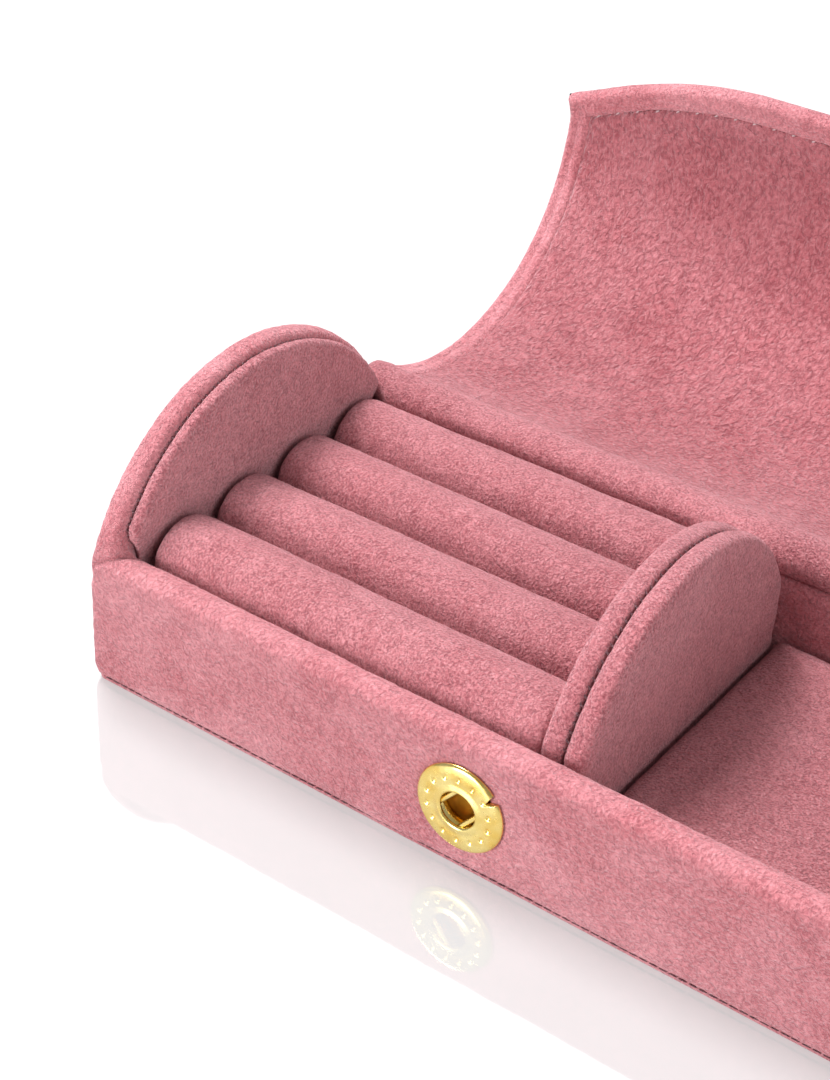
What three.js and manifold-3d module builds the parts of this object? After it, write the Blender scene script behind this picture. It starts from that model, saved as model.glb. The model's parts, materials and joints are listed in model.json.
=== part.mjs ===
// Travel jewelry case: a padded board base with D-shaped ends, ring rolls, a divider,
// a curved lid on a fabric hinge, and a snap-fastened tab. Millimetres, +Z up.
// The origin is the centre of the underside; +X runs along the case, -Y is the front.
import * as THREE from "three";
import { mergeVertices } from "three/addons/utils/BufferGeometryUtils.js";
import Module from "manifold-3d";

const wasm = await Module();
wasm.setup();

// Overall sizes of the base
const CASE_LENGTH = 136;
const CASE_WIDTH = 68;
const WALL_HEIGHT = 21.5;
const WALL_THICKNESS = 5.5;
const END_THICKNESS = 3.8;
const PLAY = 0.3;

// Layers of a covered board
const WALL_SKIN = 1.1;
const END_SKIN = 0.9;
const BOTTOM_COVER_THICKNESS = 1.0;
const BASE_BOARD_THICKNESS = 2.0;
const FLOOR_TOP = 11.7;

// Arched ends, all arcs centred on the middle of the case
const END_ARC_RADIUS = 35.8;
const END_ARC_HEIGHT = 8.2;
const END_SHOULDER_STEP = 0.8;
const LINING_THICKNESS = 2.0;
const LINING_ARC_RADIUS = 33;
const LINING_ARC_HEIGHT = 10.4;
const LINING_HALF_WIDTH = 28.2;

// Ring rolls and divider
const ROLL_COUNT = 4;
const ROLL_RADIUS = 6.9;
const ROLL_PITCH = 14.1;
const DIVIDER_LEFT_FACE = 7.4;
const DIVIDER_PAD_THICKNESS = 3.35;
const DIVIDER_SKIN = 0.85;
const DIVIDER_ARC_RADIUS = 30.5;
const DIVIDER_ARC_HEIGHT = 9.8;

// Lid, described closed, then swung open about the hinge line
const LID_INNER_RADIUS = 36.5;
const LID_THICKNESS = 3.0;
const LID_SKIN = 0.7;
const LID_BOARD_THICKNESS = 1.0;
const LID_START_ANGLE = 26.4;
const LID_ARC_LENGTH = 86.6;
const LID_CORNER_DROP = 10.2;
const LID_CORNER_LENGTH = 40;
const LID_HEM = 4.2;
const HINGE_Y = 34.6;
const HINGE_Z = 24.0;
const OPEN_ANGLE = 148;

// Fastening tab and snap
const SNAP_HEIGHT = 11.2;
const SNAP_RADIUS = 7;
const SNAP_HOLE_RADIUS = 2.9;
const SNAP_NOTCH_ANGLE = 37;
const TAB_HALF_WIDTH = 12;
const TAB_LENGTH = 15.8;
const TAB_INNER_RADIUS = 37.1;
const TAB_THICKNESS = 2.1;

const FRONT = -CASE_WIDTH / 2;
const BACK = CASE_WIDTH / 2;
const INNER_TOP_OF_BOTTOM = BOTTOM_COVER_THICKNESS + PLAY;
const INTERIOR_BOTTOM = INNER_TOP_OF_BOTTOM + BASE_BOARD_THICKNESS + PLAY;
const END_INNER_FACE = CASE_LENGTH / 2 - END_THICKNESS;
const LINING_OUTER_FACE = END_INNER_FACE - PLAY;
const LINING_INNER_FACE = LINING_OUTER_FACE - LINING_THICKNESS;

const DUSTY_ROSE = "#c98089";
const ROSE_SHADE = "#b56f79";
const GREY_BOARD = "#8d8578";
const FOAM = "#d9d2c4";
const GOLD = "#d9b04a";

function velvet(colour) {
  return new THREE.MeshStandardMaterial({ color: colour, roughness: 0.95, metalness: 0 });
}

function card(colour) {
  return new THREE.MeshStandardMaterial({ color: colour, roughness: 0.9, metalness: 0 });
}

function gold() {
  return new THREE.MeshStandardMaterial({ color: GOLD, roughness: 0.25, metalness: 1 });
}

function named(name, geometry, material) {
  const mesh = new THREE.Mesh(geometry, material);
  mesh.name = name;
  return mesh;
}

// Welded copy of a geometry that holds positions only
function welded(geometry) {
  const bare = geometry.clone();
  bare.deleteAttribute("normal");
  bare.deleteAttribute("uv");
  return mergeVertices(bare, 1e-4);
}

function toSolid(geometry) {
  const bare = welded(geometry);
  return new wasm.Manifold(new wasm.Mesh({
    numProp: 3,
    vertProperties: new Float32Array(bare.attributes.position.array),
    triVerts: new Uint32Array(bare.index.array),
  }));
}

function toGeometry(solid) {
  const data = solid.getMesh();
  const geometry = new THREE.BufferGeometry();
  geometry.setAttribute("position", new THREE.BufferAttribute(data.vertProperties, 3));
  geometry.setIndex(new THREE.BufferAttribute(data.triVerts, 1));
  geometry.computeVertexNormals();
  return geometry;
}

function cut(geometry, cutters) {
  let solid = toSolid(geometry);
  for (const cutter of cutters) {
    solid = solid.subtract(toSolid(cutter));
  }
  return toGeometry(solid);
}

// Box between two corners
function block(low, high) {
  const size = high.map((value, axis) => value - low[axis]);
  const middle = high.map((value, axis) => (value + low[axis]) / 2);
  return new THREE.BoxGeometry(...size).translate(...middle);
}

// Outline in the Y-Z plane swept along X
function alongX(shape, x0, x1, arcSegments = 28) {
  const options = { depth: x1 - x0, bevelEnabled: false, curveSegments: arcSegments };
  const geometry = new THREE.ExtrudeGeometry(shape, options);
  const turn = new THREE.Matrix4().makeBasis(
    new THREE.Vector3(0, 1, 0),
    new THREE.Vector3(0, 0, 1),
    new THREE.Vector3(1, 0, 0),
  );
  return geometry.applyMatrix4(turn).translate(x0, 0, 0);
}

// Round bar with its axis along Y
function barAlongY(radius, y0, y1, x, z, sides = 32) {
  const bar = new THREE.CylinderGeometry(radius, radius, y1 - y0, sides);
  return bar.translate(x, (y0 + y1) / 2, z);
}

// Upright sides with an arc over the top, centred on Y = 0
function archShape(halfWidth, bottom, arcRadius, arcHeight) {
  const halfAngle = Math.asin(Math.min(1, halfWidth / arcRadius));
  const shape = new THREE.Shape();
  shape.moveTo(-halfWidth, bottom);
  shape.lineTo(halfWidth, bottom);
  const start = Math.PI / 2 - halfAngle;
  const end = Math.PI / 2 + halfAngle;
  shape.absarc(0, arcHeight, arcRadius, start, end, false);
  shape.closePath();
  return shape;
}

// Arch for an end panel: the arc runs down to the wall tops, then full-width sides
function endShape(inset, bottom) {
  const halfWidth = CASE_WIDTH / 2 - inset;
  const radius = END_ARC_RADIUS - inset;
  const shoulder = WALL_HEIGHT - END_SHOULDER_STEP - inset;
  const footAngle = Math.asin((shoulder - END_ARC_HEIGHT) / radius);
  const shape = new THREE.Shape();
  shape.moveTo(-halfWidth, bottom);
  shape.lineTo(halfWidth, bottom);
  shape.lineTo(halfWidth, shoulder);
  shape.absarc(0, END_ARC_HEIGHT, radius, footAngle, Math.PI - footAngle, false);
  shape.lineTo(-halfWidth, shoulder);
  shape.closePath();
  return shape;
}

// Wall cross-section with rounded top corners
function wallShape(y0, y1, bottom, top, corner) {
  const shape = new THREE.Shape();
  shape.moveTo(y0, bottom);
  shape.lineTo(y1, bottom);
  shape.lineTo(y1, top - corner);
  shape.absarc(y1 - corner, top - corner, corner, 0, Math.PI / 2, false);
  shape.absarc(y0 + corner, top - corner, corner, Math.PI / 2, Math.PI, false);
  shape.closePath();
  return shape;
}

// ---- Base shell ----

function bottomCover() {
  const x = CASE_LENGTH / 2;
  const geometry = block([-x, FRONT, 0], [x, BACK, BOTTOM_COVER_THICKNESS]);
  return named("bottom_cover", geometry, velvet(ROSE_SHADE));
}

function baseBoard() {
  const x = END_INNER_FACE - 2 * PLAY;
  const y = CASE_WIDTH / 2 - WALL_THICKNESS - PLAY;
  const top = INNER_TOP_OF_BOTTOM + BASE_BOARD_THICKNESS;
  const geometry = block([-x, -y, INNER_TOP_OF_BOTTOM], [x, y, top]);
  return named("base_board", geometry, card(GREY_BOARD));
}

// Fabric folded over a long wall: an upside-down channel with the board inside it
function wallCover(name, y0, y1, holes) {
  const x = END_INNER_FACE - PLAY;
  const bottom = INNER_TOP_OF_BOTTOM;
  const outside = alongX(wallShape(y0, y1, bottom, WALL_HEIGHT, 1.2), -x, x, 5);
  const pocket = block(
    [-x - 1, y0 + WALL_SKIN, bottom - 1],
    [x + 1, y1 - WALL_SKIN, WALL_HEIGHT - WALL_SKIN],
  );
  return named(name, cut(outside, [pocket, ...holes]), velvet(DUSTY_ROSE));
}

function wallBoard(name, y0, y1, holes) {
  const x = END_INNER_FACE - 2 * PLAY;
  const inset = WALL_SKIN + PLAY;
  const geometry = block(
    [-x, y0 + inset, INNER_TOP_OF_BOTTOM],
    [x, y1 - inset, WALL_HEIGHT - inset],
  );
  return named(name, holes.length ? cut(geometry, holes) : geometry, card(GREY_BOARD));
}

function longWalls() {
  const frontInner = FRONT + WALL_THICKNESS;
  const backInner = BACK - WALL_THICKNESS;
  const skinHole = barAlongY(5.6, FRONT - 1, FRONT + WALL_SKIN + 0.1, 0, SNAP_HEIGHT);
  const postHole = barAlongY(1.6, FRONT, frontInner, 0, SNAP_HEIGHT, 20);
  const capRecess = barAlongY(4.8, frontInner - 2.5, frontInner, 0, SNAP_HEIGHT, 24);
  return [
    wallCover("front_cover", FRONT, frontInner, [skinHole]),
    wallBoard("front_board", FRONT, frontInner, [postHole, capRecess]),
    wallCover("back_cover", backInner, BACK, []),
    wallBoard("back_board", backInner, BACK, []),
  ];
}

function endPanel(side) {
  const sign = side === "left" ? -1 : 1;
  const outer = CASE_LENGTH / 2;
  const bottom = INNER_TOP_OF_BOTTOM;
  const span = (near, far) => (sign < 0 ? [-far, -near] : [near, far]);
  const skin = alongX(endShape(0, bottom), ...span(END_INNER_FACE, outer));
  const hollow = span(END_INNER_FACE + END_SKIN, outer - END_SKIN);
  const pocket = alongX(endShape(END_SKIN, bottom - 1), ...hollow);
  const inset = END_SKIN + PLAY;
  const board = alongX(endShape(inset, bottom), ...span(END_INNER_FACE + inset, outer - inset));
  const lining = alongX(
    archShape(LINING_HALF_WIDTH, INTERIOR_BOTTOM, LINING_ARC_RADIUS, LINING_ARC_HEIGHT),
    ...span(LINING_INNER_FACE, LINING_OUTER_FACE),
  );
  return [
    named(side + "_end_cover", cut(skin, [pocket]), velvet(DUSTY_ROSE)),
    named(side + "_end_board", board, card(GREY_BOARD)),
    named(side + "_lining_pad", lining, velvet(DUSTY_ROSE)),
  ];
}

// Fabric bridge on top of the back wall that the lid swings from
function hingeStrip() {
  const x = END_INNER_FACE - PLAY;
  const shape = new THREE.Shape();
  shape.moveTo(BACK - WALL_THICKNESS + 0.2, WALL_HEIGHT + PLAY);
  shape.lineTo(BACK, WALL_HEIGHT + PLAY);
  shape.lineTo(BACK, 24.3);
  shape.lineTo(BACK - 1.2, 24.1);
  shape.lineTo(BACK - WALL_THICKNESS + 0.2, 22.2);
  shape.closePath();
  return named("hinge_strip", alongX(shape, -x, x), velvet(DUSTY_ROSE));
}

// ---- Interior ----

function floorPads() {
  const x = LINING_INNER_FACE - PLAY;
  const y = CASE_WIDTH / 2 - WALL_THICKNESS - PLAY;
  const dividerRight = DIVIDER_LEFT_FACE + 2 * DIVIDER_PAD_THICKNESS + PLAY;
  const ringPad = block([-x, -y, INTERIOR_BOTTOM], [DIVIDER_LEFT_FACE - PLAY, y, FLOOR_TOP]);
  const trayPad = block([dividerRight + PLAY, -y, INTERIOR_BOTTOM], [x, y, FLOOR_TOP]);
  return [
    named("ring_platform", ringPad, card(FOAM)),
    named("compartment_floor", trayPad, velvet(ROSE_SHADE)),
  ];
}

function ringRolls() {
  const x0 = -LINING_INNER_FACE + PLAY;
  const x1 = DIVIDER_LEFT_FACE - PLAY;
  const rolls = [];
  for (let index = 0; index < ROLL_COUNT; index += 1) {
    const y = (index - (ROLL_COUNT - 1) / 2) * ROLL_PITCH;
    const roll = new THREE.CylinderGeometry(ROLL_RADIUS, ROLL_RADIUS, x1 - x0, 28);
    roll.rotateZ(Math.PI / 2);
    roll.translate((x0 + x1) / 2, y, FLOOR_TOP + PLAY + ROLL_RADIUS);
    rolls.push(named("ring_roll_" + (index + 1), roll, velvet(DUSTY_ROSE)));
  }
  return rolls;
}

// One fabric-covered half of the divider, with its stiffening card
function dividerHalf(side, x0) {
  const x1 = x0 + DIVIDER_PAD_THICKNESS;
  const halfWidth = LINING_HALF_WIDTH;
  const outline = (inset, bottom) => archShape(
    halfWidth - inset,
    bottom,
    DIVIDER_ARC_RADIUS - inset,
    DIVIDER_ARC_HEIGHT,
  );
  const pad = alongX(outline(0, INTERIOR_BOTTOM), x0, x1);
  const skin = DIVIDER_SKIN;
  const pocket = alongX(outline(skin, INTERIOR_BOTTOM - 1), x0 + skin, x1 - skin);
  const inset = skin + PLAY;
  const stiffener = alongX(outline(inset, INTERIOR_BOTTOM), x0 + inset, x1 - inset);
  return [
    named("divider_" + side + "_pad", cut(pad, [pocket]), velvet(DUSTY_ROSE)),
    named("divider_" + side + "_card", stiffener, card(GREY_BOARD)),
  ];
}

// ---- Lid ----

// Distance along the lid's arc to its front edge, shorter towards the two corners
function lidReach(x) {
  const fromEnd = CASE_LENGTH / 2 - Math.abs(x);
  const slack = Math.max(0, 1 - fromEnd / LID_CORNER_LENGTH);
  return LID_ARC_LENGTH - LID_CORNER_DROP * slack * slack;
}

// Slab wrapped round the arch axis: across X, along the arc, between two radii
function wrappedSlab(xStations, arcStart, arcEnd, innerRadius, outerRadius, rows) {
  const columns = xStations.length - 1;
  const slab = new THREE.BoxGeometry(1, 1, 1, columns, rows, 1);
  const place = slab.attributes.position;
  const startAngle = THREE.MathUtils.degToRad(LID_START_ANGLE);
  for (let index = 0; index < place.count; index += 1) {
    const x = xStations[Math.round((0.5 - place.getX(index)) * columns)];
    const along = place.getY(index) + 0.5;
    const arc = arcStart(x) + along * (arcEnd(x) - arcStart(x));
    const radius = place.getZ(index) > 0 ? outerRadius : innerRadius;
    const angle = startAngle + arc / LID_INNER_RADIUS;
    const y = radius * Math.cos(angle);
    const z = END_ARC_HEIGHT + radius * Math.sin(angle);
    place.setXYZ(index, x, y, z);
  }
  return welded(slab);
}

function lidStations(inset) {
  const end = CASE_LENGTH / 2 - inset;
  const flat = CASE_LENGTH / 2 - LID_CORNER_LENGTH;
  const steps = 5;
  const half = [];
  for (let index = 0; index <= steps; index += 1) {
    half.push(end + (flat - end) * (index / steps));
  }
  return [...half.map((x) => -x), ...half.reverse()];
}

function lidLayer(inset, innerRadius, outerRadius, rows) {
  const start = () => inset;
  const end = (x) => lidReach(x) - inset;
  return wrappedSlab(lidStations(inset), start, end, innerRadius, outerRadius, rows);
}

// Closed-to-open swing about the hinge line
function swungOpen(geometry) {
  geometry.translate(0, -HINGE_Y, -HINGE_Z);
  geometry.rotateX(THREE.MathUtils.degToRad(-OPEN_ANGLE));
  return geometry.translate(0, HINGE_Y, HINGE_Z);
}

function lidParts() {
  const inner = LID_INNER_RADIUS;
  const outer = inner + LID_THICKNESS;
  const rows = 22;
  const shell = lidLayer(0, inner, outer, rows);
  const recess = lidLayer(LID_HEM, inner - 2, outer - LID_SKIN, rows);
  const boardInner = inner + LID_SKIN + PLAY;
  const board = lidLayer(LID_HEM + PLAY, boardInner, boardInner + LID_BOARD_THICKNESS, rows);
  const lining = lidLayer(LID_HEM + PLAY, inner, inner + LID_SKIN, rows);
  return [
    named("lid_cover", swungOpen(cut(shell, [recess])), velvet(DUSTY_ROSE)),
    named("lid_board", swungOpen(board), card(GREY_BOARD)),
    named("lid_lining", swungOpen(lining), velvet(DUSTY_ROSE)),
  ];
}

// ---- Fastening tab and snap ----

function tabReach(x) {
  const corner = 5;
  const fromEnd = TAB_HALF_WIDTH - Math.abs(x);
  const slack = Math.max(0, 1 - fromEnd / corner);
  const drop = corner * (1 - Math.sqrt(1 - slack * slack));
  return LID_ARC_LENGTH + PLAY + TAB_LENGTH - drop;
}

function fasteningTab() {
  const offsets = [12, 11.6, 10.6, 9.2, 7];
  const stations = [...offsets.map((x) => -x), ...[...offsets].reverse()];
  const start = () => LID_ARC_LENGTH + PLAY;
  const outer = TAB_INNER_RADIUS + TAB_THICKNESS;
  const slab = wrappedSlab(stations, start, tabReach, TAB_INNER_RADIUS, outer, 5);
  const rivetHole = barAlongY(1.4, -outer - 2, -TAB_INNER_RADIUS + 3, 0, SNAP_HEIGHT, 20);
  return named("fastening_tab", swungOpen(cut(slab, [rivetHole])), velvet(DUSTY_ROSE));
}

// Solid of revolution about an axis along Y through the snap centre
function snapLathe(points, sides = 40) {
  const profile = points.map(([radius, y]) => new THREE.Vector2(radius, y));
  return new THREE.LatheGeometry(profile, sides).translate(0, 0, SNAP_HEIGHT);
}

function snapSocket() {
  const face = FRONT - PLAY;
  const hole = SNAP_HOLE_RADIUS;
  const profile = [
    [5.3, face],
    [SNAP_RADIUS, face],
    [SNAP_RADIUS, face - 0.45],
    [6.4, face - 0.8],
    [4.3, face - 0.72],
    [hole + 0.7, face - 0.95],
    [hole + 0.15, face - 0.85],
    [hole, face - 0.5],
    [hole + 0.3, face - 0.25],
    [4.9, face - 0.25],
    [4.9, FRONT + 0.7],
    [1.6, FRONT + 0.7],
    [1.6, FRONT + WALL_SKIN],
    [5.3, FRONT + WALL_SKIN],
    [5.3, face],
  ];
  const ring = snapLathe(profile.reverse());
  return named("snap_socket", cut(ring, [socketNotch(face)]), gold());
}

// Wedge that splits the socket's rim at one place
function socketNotch(face) {
  const depth = 2;
  const wedge = new THREE.Shape();
  wedge.moveTo(SNAP_RADIUS - depth + 0.45, 0);
  wedge.lineTo(SNAP_RADIUS + 0.5, -0.8);
  wedge.lineTo(SNAP_RADIUS + 0.5, 0.8);
  wedge.closePath();
  const prism = new THREE.ExtrudeGeometry(wedge, { depth: 3, bevelEnabled: false });
  prism.rotateZ(THREE.MathUtils.degToRad(SNAP_NOTCH_ANGLE));
  prism.rotateX(Math.PI / 2);
  return prism.translate(0, face + 1, SNAP_HEIGHT);
}

// Parallel spring wires that grip the stud behind the socket's rim
function snapSprings() {
  const offset = 2.25;
  const radius = 0.28;
  const length = 8.2;
  return ["upper", "lower"].map((place, index) => {
    const wire = new THREE.CylinderGeometry(radius, radius, length, 12);
    wire.rotateZ(Math.PI / 2);
    wire.translate(0, 0, index === 0 ? offset : -offset);
    wire.rotateY(THREE.MathUtils.degToRad(-50));
    wire.translate(0, FRONT + 0.05, SNAP_HEIGHT);
    return named("snap_spring_" + place, wire, gold());
  });
}

function snapPost() {
  const inner = FRONT + WALL_THICKNESS;
  const tip = FRONT + 0.35;
  const profile = [
    [0, tip],
    [1.2, tip],
    [1.2, inner - 2.2],
    [4.4, inner - 2.2],
    [4.4, inner - 1.7],
    [0, inner - 1.7],
  ];
  return named("snap_post", snapLathe(profile, 28), gold());
}

function snapStud() {
  const back = -36.0;
  const profile = [
    [0, back],
    [4.2, back],
    [4.2, back + 0.4],
    [1.35, back + 0.4],
    [1.35, back + 1.05],
    [1.7, back + 1.25],
    [1.7, back + 1.6],
    [1.2, back + 1.9],
    [0, back + 1.95],
  ];
  return named("snap_stud", swungOpen(snapLathe(profile, 28)), gold());
}

function snapCap() {
  const seat = -(TAB_INNER_RADIUS + TAB_THICKNESS) - PLAY;
  const profile = [
    [0, seat - 1.1],
    [3, seat - 1.0],
    [4.6, seat - 0.65],
    [5.2, seat - 0.2],
    [5.0, seat],
    [1, seat],
    [1, -36.3],
    [0, -36.3],
  ];
  return named("snap_cap", swungOpen(snapLathe(profile, 32)), gold());
}

function jewelryCase() {
  const group = new THREE.Group();
  group.name = "travel_jewelry_case";
  const rightHalf = DIVIDER_LEFT_FACE + DIVIDER_PAD_THICKNESS + PLAY;
  group.add(bottomCover(), baseBoard());
  group.add(...longWalls());
  group.add(...endPanel("left"), ...endPanel("right"));
  group.add(hingeStrip());
  group.add(...floorPads(), ...ringRolls());
  group.add(...dividerHalf("left", DIVIDER_LEFT_FACE));
  group.add(...dividerHalf("right", rightHalf));
  group.add(...lidParts());
  group.add(fasteningTab(), snapSocket(), ...snapSprings(), snapPost(), snapStud(), snapCap());
  return group;
}

export default jewelryCase();
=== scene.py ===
"""Looks of the travel jewelry case: velvet over board and foam, with a gold snap.

Shapes are worked out in millimetres, in the row frame, and turned into metres when a
mesh is made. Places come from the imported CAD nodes.
"""

import json
import math

import bmesh
import bpy
from mathutils import Matrix, Vector, noise


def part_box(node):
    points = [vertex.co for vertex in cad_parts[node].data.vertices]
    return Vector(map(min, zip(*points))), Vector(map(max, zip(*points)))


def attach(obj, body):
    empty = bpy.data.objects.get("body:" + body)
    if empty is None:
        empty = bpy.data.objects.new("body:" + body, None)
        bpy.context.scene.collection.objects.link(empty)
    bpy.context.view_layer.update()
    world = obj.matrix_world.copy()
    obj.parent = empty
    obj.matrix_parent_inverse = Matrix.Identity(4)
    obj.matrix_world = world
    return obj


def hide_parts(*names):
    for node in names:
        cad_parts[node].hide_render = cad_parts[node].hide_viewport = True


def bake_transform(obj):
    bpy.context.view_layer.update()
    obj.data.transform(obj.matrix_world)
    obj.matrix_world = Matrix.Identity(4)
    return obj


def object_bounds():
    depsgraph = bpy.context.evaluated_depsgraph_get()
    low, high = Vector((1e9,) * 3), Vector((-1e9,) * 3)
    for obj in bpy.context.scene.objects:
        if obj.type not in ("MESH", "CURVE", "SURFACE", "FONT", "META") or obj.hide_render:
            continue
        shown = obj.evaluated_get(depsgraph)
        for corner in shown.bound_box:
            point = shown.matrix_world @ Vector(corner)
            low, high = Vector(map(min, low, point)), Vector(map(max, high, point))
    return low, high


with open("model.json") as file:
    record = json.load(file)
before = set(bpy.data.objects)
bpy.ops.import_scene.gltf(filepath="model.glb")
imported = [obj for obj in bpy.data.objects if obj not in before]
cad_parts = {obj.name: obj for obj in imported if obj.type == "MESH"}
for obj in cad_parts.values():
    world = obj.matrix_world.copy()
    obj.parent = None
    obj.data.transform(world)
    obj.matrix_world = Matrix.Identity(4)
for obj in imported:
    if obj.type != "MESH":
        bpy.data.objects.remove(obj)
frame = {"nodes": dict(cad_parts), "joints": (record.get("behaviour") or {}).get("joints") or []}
CAD_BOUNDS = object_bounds()
MM = 0.001

# Shape of the arches and the lid, in millimetres and degrees
END_ARC_RADIUS = 36.15
END_ARC_HEIGHT = 8.2
END_SHOULDER = 20.7
LINING_ARC_RADIUS = 34.9
LINING_ARC_HEIGHT = 8.5
LINING_FOOT_HEIGHT = 22.0
DIVIDER_ARC_RADIUS = 30.5
DIVIDER_ARC_HEIGHT = 9.8
LID_INNER_RADIUS = 36.5
LID_THICKNESS = 3.0
LID_START_ANGLE = 26.4
LID_ARC_LENGTH = 86.6
LID_CORNER_DROP = 10.2
LID_CORNER_LENGTH = 40.0
LID_SIDE_HEM = 4.2
LID_FRONT_HEM = 4.7
TAB_INNER_RADIUS = 37.1
TAB_THICKNESS = 2.1
TAB_LENGTH = 15.8

HINGE = next(j for j in frame["joints"] if j["name"] == "lid_hinge")


def box_mm(node):
    """Lowest and highest corner of a CAD node, in millimetres."""
    low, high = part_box(node)
    return Vector(low) / MM, Vector(high) / MM


# ---------------------------------------------------------------- mesh helpers


def new_piece(name, points, faces):
    """Object from points in millimetres."""
    mesh = bpy.data.meshes.new(name)
    mesh.from_pydata([tuple(Vector(p) * MM) for p in points], [], faces)
    piece = bpy.data.objects.new(name, mesh)
    bpy.context.scene.collection.objects.link(piece)
    outward(piece)
    return piece


def outward(piece):
    """Faces turned outwards and shaded smooth."""
    shape = bmesh.new()
    shape.from_mesh(piece.data)
    bmesh.ops.recalc_face_normals(shape, faces=shape.faces)
    shape.to_mesh(piece.data)
    shape.free()
    for polygon in piece.data.polygons:
        polygon.use_smooth = True


def settle(piece):
    """Modifiers turned into plain mesh."""
    graph = bpy.context.evaluated_depsgraph_get()
    finished = bpy.data.meshes.new_from_object(piece.evaluated_get(graph))
    old = piece.data
    piece.modifiers.clear()
    piece.data = finished
    bpy.data.meshes.remove(old)
    for polygon in piece.data.polygons:
        polygon.use_smooth = True


def join(pieces, name):
    """Several pieces made one object."""
    shape = bmesh.new()
    for piece in pieces:
        shape.from_mesh(piece.data)
    mesh = bpy.data.meshes.new(name)
    shape.to_mesh(mesh)
    shape.free()
    for piece in pieces:
        bpy.data.objects.remove(piece)
    whole = bpy.data.objects.new(name, mesh)
    bpy.context.scene.collection.objects.link(whole)
    return whole


def remesh(piece, voxel, smooth=4):
    """One even skin over everything in the piece, with its edges eased."""
    skin = piece.modifiers.new("skin", "REMESH")
    skin.mode = "VOXEL"
    skin.voxel_size = voxel * MM
    ease = piece.modifiers.new("ease", "SMOOTH")
    ease.factor = 0.5
    ease.iterations = smooth
    settle(piece)


def subdivide(piece, levels=1):
    finer = piece.modifiers.new("finer", "SUBSURF")
    finer.levels = levels
    finer.render_levels = levels
    settle(piece)


def push(piece, offset):
    """Every point moved along its normal by offset(point in mm, normal), in mm."""
    mesh = piece.data
    moves = []
    for vertex in mesh.vertices:
        moves.append(vertex.normal * offset(vertex.co / MM, vertex.normal) * MM)
    for vertex, move in zip(mesh.vertices, moves):
        vertex.co += move
    mesh.update()


def softness(low, fine=0.05, seed=0.0):
    """Uneven fabric over foam or board: slow waves of low mm and a fine grain."""
    shift = Vector((seed, 2.1 * seed, -1.3 * seed))

    def offset(point, _normal):
        slow = noise.noise(point * 0.055 + shift) + 0.5 * noise.noise(point * 0.14 + shift)
        return low * slow + fine * noise.noise(point * 0.9 + shift)

    return offset


def ring_skin(name, rings):
    """Closed skin over rings of equal point count, capped at both ends."""
    count = len(rings[0])
    points = [p for ring in rings for p in ring]
    faces = []
    for r in range(len(rings) - 1):
        for i in range(count):
            j = (i + 1) % count
            a, b = r * count, (r + 1) * count
            faces.append((a + i, a + j, b + j, b + i))
    faces.append(tuple(range(count)))
    faces.append(tuple(range((len(rings) - 1) * count, len(rings) * count)))
    return new_piece(name, points, faces)


def rounded_panel(name, outline, x0, x1, rim, steps=4):
    """Panel between two X planes, with rounded rims; outline(inset) gives (y, z) points."""
    rings = []
    for k in range(steps + 1):
        angle = math.pi / 2 * (1 - k / steps)
        x = x0 + rim * (1 - math.sin(angle))
        rings.append((x, rim * (1 - math.cos(angle))))
    rings += [(x0 + x1 - x, inset) for x, inset in reversed(rings)]
    return ring_skin(name, [[(x, y, z) for y, z in outline(inset)] for x, inset in rings])


def rounded_rect(y0, y1, z0, z1, radii, inset, steps=5):
    """(y, z) points of a rectangle; radii are for its low-y top, high-y top and bottom."""
    y0, y1, z0, z1 = y0 + inset, y1 - inset, z0 + inset, z1 - inset
    low, high, foot = (max(r - inset, 0.05) for r in radii)
    corners = [
        (y0 + foot, z0 + foot, foot, 180),
        (y1 - foot, z0 + foot, foot, 270),
        (y1 - high, z1 - high, high, 0),
        (y0 + low, z1 - low, low, 90),
    ]
    points = []
    for y, z, radius, start in corners:
        for k in range(steps + 1):
            angle = math.radians(start + 90 * k / steps)
            points.append((y + radius * math.cos(angle), z + radius * math.sin(angle)))
    return points


def arch(half_width, bottom, radius, height, inset, steps=100):
    """(y, z) points of upright sides with an arc over the top."""
    half_width, bottom, radius = half_width - inset, bottom + inset, radius - inset
    reach = math.asin(min(1.0, half_width / radius))
    points = [(-half_width, bottom), (half_width, bottom)]
    for k in range(steps + 1):
        angle = math.pi / 2 - reach + 2 * reach * k / steps
        points.append((radius * math.cos(angle), height + radius * math.sin(angle)))
    return points


def end_arch(bottom, inset, steps=120):
    """(y, z) points of an end panel: full-width sides, then the arc."""
    half_width = box_mm("left_end_cover")[1].y - inset
    radius = END_ARC_RADIUS - inset
    shoulder = END_SHOULDER - inset
    foot = math.asin((shoulder - END_ARC_HEIGHT) / radius)
    points = [(-half_width, bottom + inset), (half_width, bottom + inset), (half_width, shoulder)]
    for k in range(steps + 1):
        angle = foot + (math.pi - 2 * foot) * k / steps
        points.append((radius * math.cos(angle), END_ARC_HEIGHT + radius * math.sin(angle)))
    points.append((-half_width, shoulder))
    return points


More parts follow.
